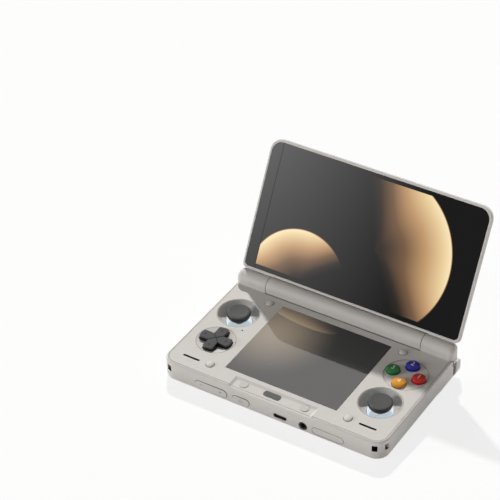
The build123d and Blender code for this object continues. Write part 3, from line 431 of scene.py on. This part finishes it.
# %% One finish for each solid
finishes = {
    shell_abs: "bottom_cover deck_cover lid_back_cover lid_frame",
    key_abs: "volume_rocker power_key card_door shoulder_left shoulder_right trigger_left trigger_right "
    "menu_button_rear_left menu_button_rear_right menu_button_front_left menu_button_front_right",
    plate_pc: "front_plate",
    bumper_tpe: "bumper_pads",
    foot_rubber: "rubber_feet",
    membrane_rubber: "dpad_membrane face_button_membrane",
    cap_pc: "stick_cap_left stick_cap_right",
    cross_pc: "dpad",
    acrylic_red: "face_button_1",
    acrylic_blue: "face_button_2",
    acrylic_green: "face_button_3",
    acrylic_yellow: "face_button_4",
    jack_nylon: "audio_jack",
    inner_nylon: "fan_housing fan_rotor card_reader speaker_left speaker_right stick_module_left "
    "stick_module_right lower_display_panel upper_display_panel display_ribbon",
    cell_film: "battery",
    solder_mask: "mainboard",
    ground_steel: "case_screws trigger_pins shoulder_pins hinge_unit_left hinge_unit_right hinge_shaft_left "
    "hinge_shaft_right dpad_pivot stick_gimbal_left stick_gimbal_right stick_stem_left stick_stem_right",
    stainless_sheet: "usb_c_socket",
    copper_sheet: "heat_spreader",
    upper_screen: "upper_glass",
    lower_screen: "lower_glass",
    light_guide: "light_ring_left light_ring_right",
}
dressed = set()
for material, names in finishes.items():
    for name in names.split():
        mesh = nodes[name].data
        mesh.materials.clear()
        mesh.materials.append(material)
        dressed.add(name)
print(len(dressed), "solids dressed, left over:", sorted(set(nodes) - dressed))

# %% [markdown]
# ## Dark lines
#
# Two mouldings never meet without a line. The deck plate lies in a rim, the cross key's dish and the plate under the
# coloured buttons are inserts, and each pill-shaped key stands in its own hole. All these lines are gaps of a few
# tenths of a millimetre, and the shade in them is painted: a near-black cord is laid in each, and along the hinge's
# split lines and under its barrel too.
# The cord is one Geometry Nodes tree: it takes any path, gives it a round section and a material. So
# each line only needs its own path, a chain of points in millimetres on the deck's drawing board.

# %% A cord along any path
# Painted shade: a near-black cord that stands for the shade in a narrow gap.
shade_cord = moulded("black_cord_painted_shade", "#2B2A28", "#232220", 0.7, 0.4, 0.006, ior=1.5)


def cord_tree():
    tree = bpy.data.node_groups.new("cord_along_path", "GeometryNodeTree")
    face = tree.interface
    face.new_socket("Path", in_out="INPUT", socket_type="NodeSocketGeometry")
    for label, kind in (("Radius", "NodeSocketFloat"), ("Sides", "NodeSocketInt"), ("Material", "NodeSocketMaterial")):
        face.new_socket(label, in_out="INPUT", socket_type=kind)
    face.new_socket("Cord", in_out="OUTPUT", socket_type="NodeSocketGeometry")
    given = add(tree, "NodeGroupInput").outputs
    path = add(tree, "GeometryNodeMeshToCurve", {0: given["Path"]}).outputs[0]
    section = add(tree, "GeometryNodeCurvePrimitiveCircle", {"Radius": given["Radius"], "Resolution": given["Sides"]})
    cord = add(tree, "GeometryNodeCurveToMesh", {"Curve": path, "Profile Curve": section.outputs["Curve"], "Fill Caps": True})
    real = add(tree, "GeometryNodeRealizeInstances", {"Geometry": cord.outputs[0]})
    done = add(tree, "GeometryNodeSetMaterial", {"Geometry": real.outputs[0], "Material": given["Material"]})
    add(tree, "NodeGroupOutput", {"Cord": done.outputs[0]})
    return tree


cord_nodes = cord_tree()


def made_plain(source, name, body):
    """Turn what the modifiers of `source` make into a plain mesh on its body, and drop `source`."""
    bpy.context.view_layer.update()
    graph = bpy.context.evaluated_depsgraph_get()
    mesh = bpy.data.meshes.new_from_object(source.evaluated_get(graph), depsgraph=graph)
    piece = bpy.data.objects.new(name, mesh)
    mesh.name = name
    bpy.context.scene.collection.objects.link(piece)
    bpy.data.objects.remove(source)
    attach(piece, body)
    return piece


def cord(name, lines, radius, material=None, body="base", slot="rubber_dark", sides=8):
    """One piece of cord along each chain of points; a chain that ends where it began is a loop."""
    points, edges = [], []
    for line in lines:
        loop = line[0] == line[-1]
        first, count = len(points), len(line) - (1 if loop else 0)
        points += [DECK @ Vector(point) for point in line[:count]]
        edges += [(first + i, first + i + 1) for i in range(count - 1)] + ([(first + count - 1, first)] if loop else [])
    mesh = bpy.data.meshes.new(name + "_path")
    mesh.from_pydata(points, edges, [])
    path = bpy.data.objects.new(name + "_path", mesh)
    bpy.context.scene.collection.objects.link(path)
    modifier = path.modifiers.new("cord", "NODES")
    modifier.node_group = cord_nodes
    sizes = {"Radius": radius / 1000, "Sides": sides, "Material": material or shade_cord}
    for socket in cord_nodes.interface.items_tree:
        if socket.in_out == "INPUT" and socket.name in sizes:
            modifier[socket.identifier] = sizes[socket.name]
    return made_plain(path, name, body)


def arc(centre, radius, start, end, z, steps=24):
    """Points of an arc on the deck, angles in degrees."""
    angles = [math.radians(start + (end - start) * i / steps) for i in range(steps + 1)]
    return [(centre[0] + radius * math.cos(a), centre[1] + radius * math.sin(a), z) for a in angles]


def circle(centre, radius, z, steps=96):
    points = arc(centre, radius, 0, 360, z, steps)
    return points[:-1] + [points[0]]


print("cord tree:", [socket.name for socket in cord_nodes.interface.items_tree])

# %% Lines round the deck, the dish and the wells
FRONT_Y = -48.2
SEAM_INSET, CORNER_R = 1.51, 8.5
side_x, front_y, turn_r = 75 - SEAM_INSET, FRONT_Y + SEAM_INSET, CORNER_R - SEAM_INSET
left_corner = arc((-side_x + turn_r, front_y + turn_r), turn_r, 180, 270, -0.06)
right_corner = arc((side_x - turn_r, front_y + turn_r), turn_r, 270, 360, -0.06)
dip = [(-28.0, front_y, -0.06), (-26.4, front_y, -0.86), (26.4, front_y, -0.86), (28.0, front_y, -0.06)]
deck_line = [(-side_x, 34.8, -0.06)] + left_corner + dip + right_corner + [(side_x, 34.8, -0.06)]
FACE_PLATE = (57.1, 11.8)
# Painted shade: near-black cords in the seams round the deck, the dish, the button plate, the wells and the menu keys,
# and along the hinge.
deck_shade_line = cord("deck_shade_line", [deck_line], 0.11)
insert_shade_lines = cord("insert_shade_lines", [circle(DISH, 12.05, -0.05), circle(FACE_PLATE, 13.45, -0.06)], 0.11)
well_shade_lines = cord("well_shade_lines", [circle(centre, 13.3, -0.07) for centre in STICKS.values()], 0.11)
MENU_KEYS = ((-46.3, 28.2), (45.9, 28.9), (-46.7, -38.0), (46.7, -37.9))
menu_shade_lines = cord("menu_shade_lines", [circle(centre, 2.66, -0.08, 48) for centre in MENU_KEYS], 0.15)
HINGE_YZ, BARREL_R, SPLIT_X = (40.4, 3.2), 5.1, 53.75
knuckle_ends = [
    [(side * (SPLIT_X + 0.0), y, z) for y, z, _ in arc(HINGE_YZ, BARREL_R - 0.12, 60, 236, 0, 40)] for side in (-1, 1)
]
knuckle_shade_lines = cord("knuckle_shade_lines", knuckle_ends, 0.19)
trough_shade_line = cord("trough_shade_line", [[(-SPLIT_X, 35.06, -0.05), (SPLIT_X, 35.06, -0.05)]], 0.16)
made = (deck_shade_line, insert_shade_lines, well_shade_lines, menu_shade_lines, knuckle_shade_lines, trough_shade_line)
print("shade_lines:", [len(o.data.polygons) for o in made], "faces")

# %% Lines round the pill-shaped keys on the front wall
PILLS = {"volume": (-50.9, -29.0, -8.3, 4.9), "power": (-25.0, -13.6, -8.4, 4.6), "card": (29.0, 49.6, -8.7, 4.5)}


def pill(x0, x1, z, height, grow, depth, lean=0.0, steps=16):
    """The outline of a pill-shaped key, `grow` outside its edge; `lean` sinks its lower left end deeper."""
    r = height / 2
    ends = [((x1 - r, z), 90, -90), ((x0 + r, z), 270, 90)]
    flat = [(u, v) for centre, a, b in ends for u, v, _ in arc(centre, r + grow, a, b, 0, steps)]
    points = [(u, FRONT_Y + depth + lean * ((x1 - u) / (x1 - x0) + (z + r - v) / height) / 2, v) for u, v in flat]
    return points + [points[0]]


# Painted shade in the gaps round the front keys: thick cords for volume and power, sunk deeper at the lower left so the
# shade shows most at the top and right end.
for name, radius, depth, lean in (("volume", 0.36, 0.12, 0.36), ("power", 0.36, 0.12, 0.36), ("card", 0.12, 0.02, 0.0)):
    shade_line = cord(name + "_shade_line", [pill(*PILLS[name], 0.15, depth, lean)], radius)
    print(shade_line.name, len(shade_line.data.polygons), "faces")

# %% [markdown]
# ## Thumb caps
#
# A thumb cap is a soft grey pad with a hollow for the thumb, over a skirt coloured near black, far darker than the pad,
# so the cap's side and underside look dark. Turned parts are drawn as half a section and spun about their own axis, so
# a finer mesh than the solid's costs only a longer list of points. It keeps the solid's size and its clearance all
# round.

# %% Spin two caps
CAP_R, CAP_TOP = 7.4, 1.5
PAD = [(0.0, -0.55), (1.5, -0.53), (3.0, -0.44), (4.4, -0.27), (5.2, -0.12), (5.7, -0.02), (6.1, 0.0), (6.5, -0.06), (6.85, -0.24), (7.05, -0.5)]
SKIRT = [(7.05, -0.56), (7.3, -0.78), (7.4, -1.15), (7.38, -1.7), (7.28, -2.4), (7.08, -3.15), (6.72, -3.9), (6.2, -4.6), (5.5, -5.2), (4.6, -5.72), (3.6, -6.08), (3.0, -6.2), (1.75, -6.2)]


def smooth_chain(points, rounds=2):
    """Cut the corners of a chain of points, its ends kept."""
    for _ in range(rounds):
        cut = [points[0]]
        for a, b in zip(points, points[1:]):
            cut += [tuple(0.75 * p + 0.25 * q for p, q in zip(a, b)), tuple(0.25 * p + 0.75 * q for p, q in zip(a, b))]
        points = cut + [points[-1]]
    return points


for side, centre in STICKS.items():
    shape = bmesh.new()
    steps, rows = 96, []
    chain = [(p, 0) for p in smooth_chain(PAD)] + [(p, 1) for p in smooth_chain(SKIRT)]
    for (r, z), _ in chain:
        turns = [2 * math.pi * i / steps for i in range(steps)] if r else [0.0]
        rows.append([shape.verts.new(DECK @ Vector((centre[0] + r * math.cos(a), centre[1] + r * math.sin(a), CAP_TOP + z))) for a in turns])
    for (upper, lower), (_, part) in zip(zip(rows, rows[1:]), chain[1:]):
        for i in range(steps):
            j = (i + 1) % steps
            ring = [upper[0], lower[i], lower[j]] if len(upper) == 1 else [upper[i], lower[i], lower[j], upper[j]]
            face = shape.faces.new(ring)
            face.material_index, face.smooth = part, True
    bmesh.ops.recalc_face_normals(shape, faces=shape.faces)
    mesh = bpy.data.meshes.new(f"thumb_cap_{side}")
    shape.to_mesh(mesh)
    shape.free()
    for material in (cap_pc, skirt_pc):
        mesh.materials.append(material)
    cap = bpy.data.objects.new(f"thumb_cap_{side}", mesh)
    bpy.context.scene.collection.objects.link(cap)
    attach(cap, f"stick_cap_{side}")
    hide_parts(f"stick_cap_{side}")
    print(cap.name, len(mesh.polygons), "faces")

# %% [markdown]
# ## Numerals and marks
#
# A set of plain numerals tells the four coloured buttons apart, and plus, minus and an open ring mark
# the keys in front. On the real thing they are moulded right through the cap in a second plastic, so
# they never wear off. Here each one starts as a letter of the built-in font. Its mesh is cut fine,
# dropped onto the key along one direction so that it follows the dome, and given a little thickness.

# %% Letters that follow a curved key
from mathutils.bvhtree import BVHTree

pale_inlay = moulded("two_shot_ABS_ivory", "#EFEBDD", "#E9E4D4", 0.35, 0.5, 0.003)
grey_inlay = moulded("two_shot_ABS_stone_grey", "#8E8B86", "#868380", 0.4, 0.5, 0.003)


def inlay(name, text, size, centre, board, node, body, material, turn=0.0):
    """`text` on the surface of a CAD node; `board` turns the letter's flat page to the node's side."""
    letter = bpy.data.curves.new(name, "FONT")
    letter.body, letter.size = text, size
    letter.align_x, letter.align_y = "CENTER", "CENTER"
    letter.resolution_u = 4
    source = bpy.data.objects.new(name + "_font", letter)
    bpy.context.scene.collection.objects.link(source)
    bpy.context.view_layer.update()
    graph = bpy.context.evaluated_depsgraph_get()
    mesh = bpy.data.meshes.new_from_object(source.evaluated_get(graph), depsgraph=graph)
    bpy.data.objects.remove(source)
    page = DECK @ Matrix.Translation(centre) @ board @ Matrix.Rotation(turn, 4, "Z")
    out = (page.to_3x3() @ Vector((0, 0, 1))).normalized()
    shape = bmesh.new()
    shape.from_mesh(mesh)
    bmesh.ops.remove_doubles(shape, verts=shape.verts, dist=size * 0.002)
    for _ in range(4):
        bmesh.ops.triangulate(shape, faces=shape.faces)
        long_edges = [e for e in shape.edges if e.calc_length() > 0.5]
        bmesh.ops.subdivide_edges(shape, edges=long_edges, cuts=1)
    bmesh.ops.triangulate(shape, faces=shape.faces)
    key = nodes[node].data
    surface = BVHTree.FromPolygons([v.co for v in key.vertices], [tuple(f.vertices) for f in key.polygons])
    for vertex in shape.verts:
        start = page @ vertex.co + out * 0.006
        hit = surface.ray_cast(start, -out)[0]
        vertex.co = (hit if hit else start - out * 0.006) - out * 0.00006
    top = bmesh.ops.extrude_face_region(shape, geom=shape.faces[:])["geom"]
    bmesh.ops.translate(shape, verts=[v for v in top if isinstance(v, bmesh.types.BMVert)], vec=out * 0.00010)
    bmesh.ops.recalc_face_normals(shape, faces=shape.faces)
    shape.to_mesh(mesh)
    shape.free()
    mesh.name = name
    mesh.materials.clear()
    mesh.materials.append(material)
    piece = bpy.data.objects.new(name, mesh)
    bpy.context.scene.collection.objects.link(piece)
    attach(piece, body)
    return piece


UP, FORWARD = Matrix.Identity(4), Matrix.Rotation(math.radians(90), 4, "X")
for number, (x, y) in enumerate(((8.5, 0), (0, 8.5), (-8.5, 0), (0, -8.5)), 1):
    centre = (FACE_PLATE[0] + x, FACE_PLATE[1] + y, 2.0)
    button = f"face_button_{number}"
    numeral = inlay(f"numeral_{number}", str(number), 4.6, centre, UP, button, button, pale_inlay)
    print(numeral.name, len(numeral.data.polygons), "faces")

# %% Plus, minus and the power ring
for name, text, x in (("mark_plus", "+", -33.4), ("mark_minus", "\u2212", -46.6)):
    inlay(name, text, 4.4, (x, FRONT_Y, -8.3), FORWARD, "volume_rocker", "volume_rocker", grey_inlay)
ring_centre, KEY_FACE_Y = (-19.3, -8.4), FRONT_Y - 0.2
power_ring = [(u, KEY_FACE_Y - 0.02, v) for u, v, _ in arc(ring_centre, 1.0, 130, 410, 0)]
power_bar = [(ring_centre[0], KEY_FACE_Y - 0.02, ring_centre[1] + dz) for dz in (0.35, 1.25)]
cord("mark_power", [power_ring, power_bar], 0.12, material=grey_inlay, body="power_key", slot="key_plastic")
print("marks on the front keys done")

# %% [markdown]
# ## Floor and light
#
# The portrait is a plain studio picture. A large pale table fills the view. The main lamp stands behind
# the console on the left, so the open lid throws its shadow over the rear of the deck, with a crisp
# edge. A second, low light comes in from the front left like a window: it brightens the front wall and
# the barrel, and gives each key a soft shadow to its right. All the rest is soft light from a white
# room. The table's own colour is pale, and most of what the camera sees of it is drawn as plain white,
# so the shadow on it stays light.

# %% The table
mesh = bpy.data.meshes.new("table_top")
mesh.from_pydata([(-4, -4, 0), (4, -4, 0), (4, 4, 0), (-4, 4, 0)], [], [(0, 1, 2, 3)])
table_top = bpy.data.objects.new("table_top", mesh)
bpy.context.scene.collection.objects.link(table_top)
paper = bpy.data.materials.new("white_background_paper")
paper.use_nodes = True
tree = paper.node_tree
shader = tree.nodes["Principled BSDF"]
place = add(tree, "ShaderNodeTexCoord").outputs["Object"]
fibres = add(tree, "ShaderNodeTexNoise", {"Vector": place, "Scale": 1 / 0.05, "Detail": 2.0})
tone = add(tree, "ShaderNodeMix", {0: fibres.outputs["Fac"], 6: linear("#F6F5F3"), 7: linear("#F2F1EF")}, data_type="RGBA")
tree.links.new(tone.outputs[2], shader.inputs["Base Color"])
shader.inputs["Roughness"].default_value = 0.9
shader.inputs["Specular IOR Level"].default_value = 0.1
rays = add(tree, "ShaderNodeLightPath")
seen = add(tree, "ShaderNodeMath", {0: rays.outputs["Is Camera Ray"], 1: rays.outputs["Is Glossy Ray"]}, operation="MAXIMUM")
share = add(tree, "ShaderNodeMath", {0: seen.outputs[0], 1: 0.8}, operation="MULTIPLY")
white = add(tree, "ShaderNodeEmission", {"Color": (1, 1, 1, 1), "Strength": 1.0})
mixed = add(tree, "ShaderNodeMixShader", {0: share.outputs[0], 1: shader.outputs[0], 2: white.outputs[0]})
tree.links.new(mixed.outputs[0], tree.nodes["Material Output"].inputs["Surface"])
mesh.materials.append(paper)
print("table", [round(c, 2) for c in table_top.dimensions])

# %% The room and the lamps
ROOM_LEVEL = {"horizon": 0.50, "zenith": 0.07}
world = bpy.data.worlds.new("white_room")
bpy.context.scene.world = world
world.use_nodes = True
tree = world.node_tree
rays = add(tree, "ShaderNodeLightPath")
seen = add(tree, "ShaderNodeMath", {0: rays.outputs["Is Camera Ray"], 1: rays.outputs["Is Glossy Ray"]}, operation="MAXIMUM")
seen = add(tree, "ShaderNodeMath", {0: seen.outputs[0], 1: rays.outputs["Is Transmission Ray"]}, operation="MAXIMUM")
direction = add(tree, "ShaderNodeTexCoord").outputs["Generated"]
height = add(tree, "ShaderNodeSeparateXYZ", {0: direction}).outputs["Z"]
walls = {"Value": height, "To Min": ROOM_LEVEL["horizon"], "To Max": ROOM_LEVEL["zenith"]}
room = add(tree, "ShaderNodeMapRange", walls).outputs["Result"]
level = add(tree, "ShaderNodeMix", {0: seen.outputs[0], 2: room, 3: 1.0}).outputs[0]
tree.links.new(level, tree.nodes["Background"].inputs["Strength"])
tree.nodes["Background"].inputs["Color"].default_value = (1, 1, 1, 1)

for name, energy, softness, towards in (
    ("main_lamp", 3.2, 2.0, (-0.405, 0.60, 0.70)),
    ("window_lamp", 1.15, 16.0, (-0.70, -0.67, 0.25)),
):
    lamp = bpy.data.objects.new(name, bpy.data.lights.new(name, "SUN"))
    bpy.context.scene.collection.objects.link(lamp)
    lamp.data.energy = energy
    lamp.data.angle = math.radians(softness)
    lamp.visible_glossy = name != "main_lamp"
    lamp.rotation_mode = "QUATERNION"
    lamp.rotation_quaternion = Vector(towards).to_track_quat("Z", "Y")
    print(name, energy, "W/m2; room", ROOM_LEVEL)
